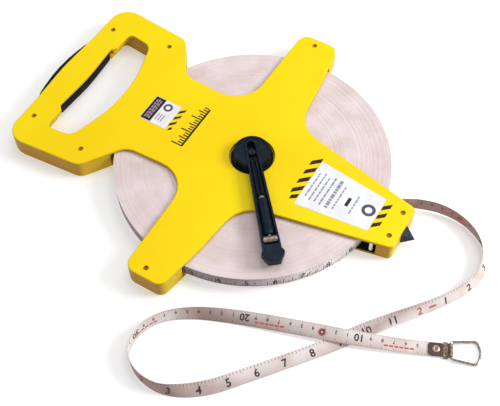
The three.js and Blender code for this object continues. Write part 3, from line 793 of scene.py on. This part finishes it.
def add_label_print():
    """Plain marks on both labels: rows of grey bars, a dark block, a dark band and two rings."""
    sheet = Print(on_level(LABEL_TOP + INK_LIFT))
    random.seed(11)
    rows = [    # middle x, thickness, half length
        (66, 1.5, 15), (71, 1.5, 17), (76, 1.5, 16), (81.5, 1.7, 17), (88, 3.2, 17),
        (94, 1.5, 15), (109.5, 1.5, 12),
    ]
    for x, thick, reach in rows:
        y = -reach
        while y < reach - 2:
            long = random.uniform(2, 5.5)
            sheet.bar(x - thick / 2, x + thick / 2, y, min(y + long, reach), GREY, step=WHOLE)
            y += long + random.uniform(0.6, 1.2)
    sheet.bar(101.6, 104.8, -6, 4, step=WHOLE)
    sheet.ring(123.5, 0.4, 3.4, 6.6, PLUM, count=32)
    sheet.ring(-101, 8, 2.4, 4.8, PLUM, count=28)
    sheet.bar(-118.6, -107.4, -14.8, 15, step=WHOLE)
    for k, x in enumerate((-115.4, -113.1, -110.9)):
        for j in range(6):
            y = -12.4 + 4.2 * j + (k % 2) * 0.8
            sheet.bar(x - 0.8, x + 0.8, y, y + 3.3, VIOLET, lift=INK_LIFT, step=WHOLE)
    for x in (-104.5, -101.5, -98.5):
        sheet.bar(x - 0.6, x + 0.6, -10.5, -1.5, GREY, step=WHOLE)
    inks = [BLACK_INK, GREY_INK, VIOLET_INK, PLUM_INK]
    new_piece("label_print", sheet.mesh("label_print"), inks, "frame", "label")


# ------------------------------------------------------------------ frame halves
SAME_LEVEL = 0.05           # an edge this near a face's height is on it
OUTLINE_ROUNDING = 1.3
POCKET_ROUNDING = 0.8
SCREW_HOLE_ROUNDING = 0.35
SCREW_HOLE_REACH = 4.5
POCKET_REACH = 23
FRONT_HUB_REACH = 24        # what is nearer the axle isn't part of the outline
REAR_HUB_REACH = 16


def at_screw(x, y):
    """Whether a place is at a frame screw's hole."""
    return any(hypot(x - a, y - b) < SCREW_HOLE_REACH for a, b in SCREW_SPOTS)


def at_label(x, y):
    """Whether a place is at a label's seat."""
    return any(near < x < far and abs(y) < half for near, far, half in (MOUTH_LABEL, HANDLE_LABEL))


def add_frame_halves(material):
    """Both halves with rounded outer edges, softer at the screw holes and the hub pocket."""
    def outline(level, hub_reach):
        return lambda x, y, z: (
            abs(z - level) < SAME_LEVEL and hypot(x, y) > hub_reach
            and not at_screw(x, y) and not at_label(x, y))

    def pocket(x, y, z):
        return abs(z - FRAME_TOP) < SAME_LEVEL and hypot(x, y) < POCKET_REACH

    def screw_hole(x, y, z):
        return abs(z - FRAME_TOP) < SAME_LEVEL and at_screw(x, y)

    front_edges = [
        (OUTLINE_ROUNDING, outline(FRAME_TOP, FRONT_HUB_REACH)),
        (POCKET_ROUNDING, pocket),
        (SCREW_HOLE_ROUNDING, screw_hole),
    ]
    refined("frame_front", material, where=front_edges, segments=3)
    refined("frame_rear", material, where=[(OUTLINE_ROUNDING, outline(0, REAR_HUB_REACH))], segments=3)


# ------------------------------------------------------------------ build
BLACK_INK = ink("black_ink", (0.024, 0.011, 0.006))
TAPE_INK = ink("tape_ink", (0.04, 0.036, 0.038))
RED_INK = ink("red_ink", (0.56, 0.11, 0.1))
GREY_INK = ink("grey_ink", (0.3, 0.3, 0.35))
VIOLET_INK = ink("violet_ink", (0.33, 0.27, 0.34))
PLUM_INK = ink("plum_ink", (0.1, 0.085, 0.12))

add_camera()

FILM_WARM = (0.66, 0.565, 0.53)
FILM_PALE = (0.82, 0.74, 0.715)
tape_material = tape_film("tape_face", FILM_WARM, FILM_PALE)
coil_side = tape_film("coil_side", (0.74, 0.61, 0.59), (0.85, 0.73, 0.74), side_wound=True)
# The coil's rim stands upright, so it takes a darker painted shade than the free tape.
coil_rim = tape_film("coil_rim", FILM_WARM, FILM_PALE, steep_shade=(0.27, 0.235, 0.235), paler_forward=2.6)
yellow = yellow_plastic()
black = dark_plastic("black_plastic", (0.004, 0.011, 0.021), (0.012, 0.024, 0.04), 0.4, 900)
grip_rubber = rubber()
zinc = metal("zinc_steel", (0.62, 0.62, 0.63), (0.4, 0.4, 0.41), 0.3)
aged = metal("aged_steel", (0.42, 0.37, 0.34), (0.2, 0.16, 0.14), 0.36)
yellowed = metal("yellowed_steel", (0.8, 0.5, 0.09), (0.52, 0.29, 0.04), 0.5)
umber = metal("umber_steel", (0.28, 0.205, 0.16), (0.11, 0.075, 0.058), 0.42)
rosy = metal("rosy_steel", (0.68, 0.47, 0.42), (0.42, 0.27, 0.24), 0.4)
blackened = metal("black_steel", (0.05, 0.055, 0.065), (0.02, 0.022, 0.028), 0.42)
bronze = metal("sintered_bronze", (0.55, 0.36, 0.15), (0.35, 0.2, 0.08), 0.4, 900)
nylon = plain_nylon()
film = label_film()
brown = vinyl()

free_tape, ribbon = add_free_tape([tape_material, TAPE_INK, RED_INK])
patch = refined("end_patch", brown, 0.35)
bracket = refined("ring_bracket", umber, 0.15)
eyelet = refined("end_eyelet", rosy, 0.1)
wire_ring = refined("end_ring", aged, 0.02)

add_studio()
add_frame_halves(yellow)
add_coil(coil_side, coil_rim)
add_frame_print()
add_label_print()

refined("label_mouth", film, 0.08)
refined("label_handle", film, 0.08)
refined("handle_grip", grip_rubber, 0.4)
refined("ground_spike", black, 0.35)
refined("rear_cap", black, 0.4)
refined("dust_seal", grip_rubber, 0.3)
# The black mouth liner is a dark sheet standing in for the deep shade inside the mouth, under the front
# plate.
refined("mouth_liner", black, 0.1)
refined("guide_block", black, 0.5)
refined("crank_hub", black, 0.5)
refined("crank_arm", black, 0.45)
refined("knob_grip", black, 0.15)
refined("reel_drum", black, 0.2)
refined("tape_lead", tape_material, 0.05)
for number in range(1, 9):
    refined(f"frame_screw_{number}", yellowed, 0.15)
for number in (1, 2):
    refined(f"guide_roller_{number}", nylon, 0.3)
    refined(f"roller_pin_{number}", zinc, 0.15)
for name in ("axle", "drive_key", "anchor_clip", "knob_hinge_pin"):
    refined(name, zinc, 0.12)
for name in ("crank_washer", "crank_screw", "knob_spring"):
    refined(name, blackened, 0.12)
refined("knob_spindle", aged, 0.12)
for name in ("rear_bush", "front_bush"):
    refined(name, bronze, 0.15)
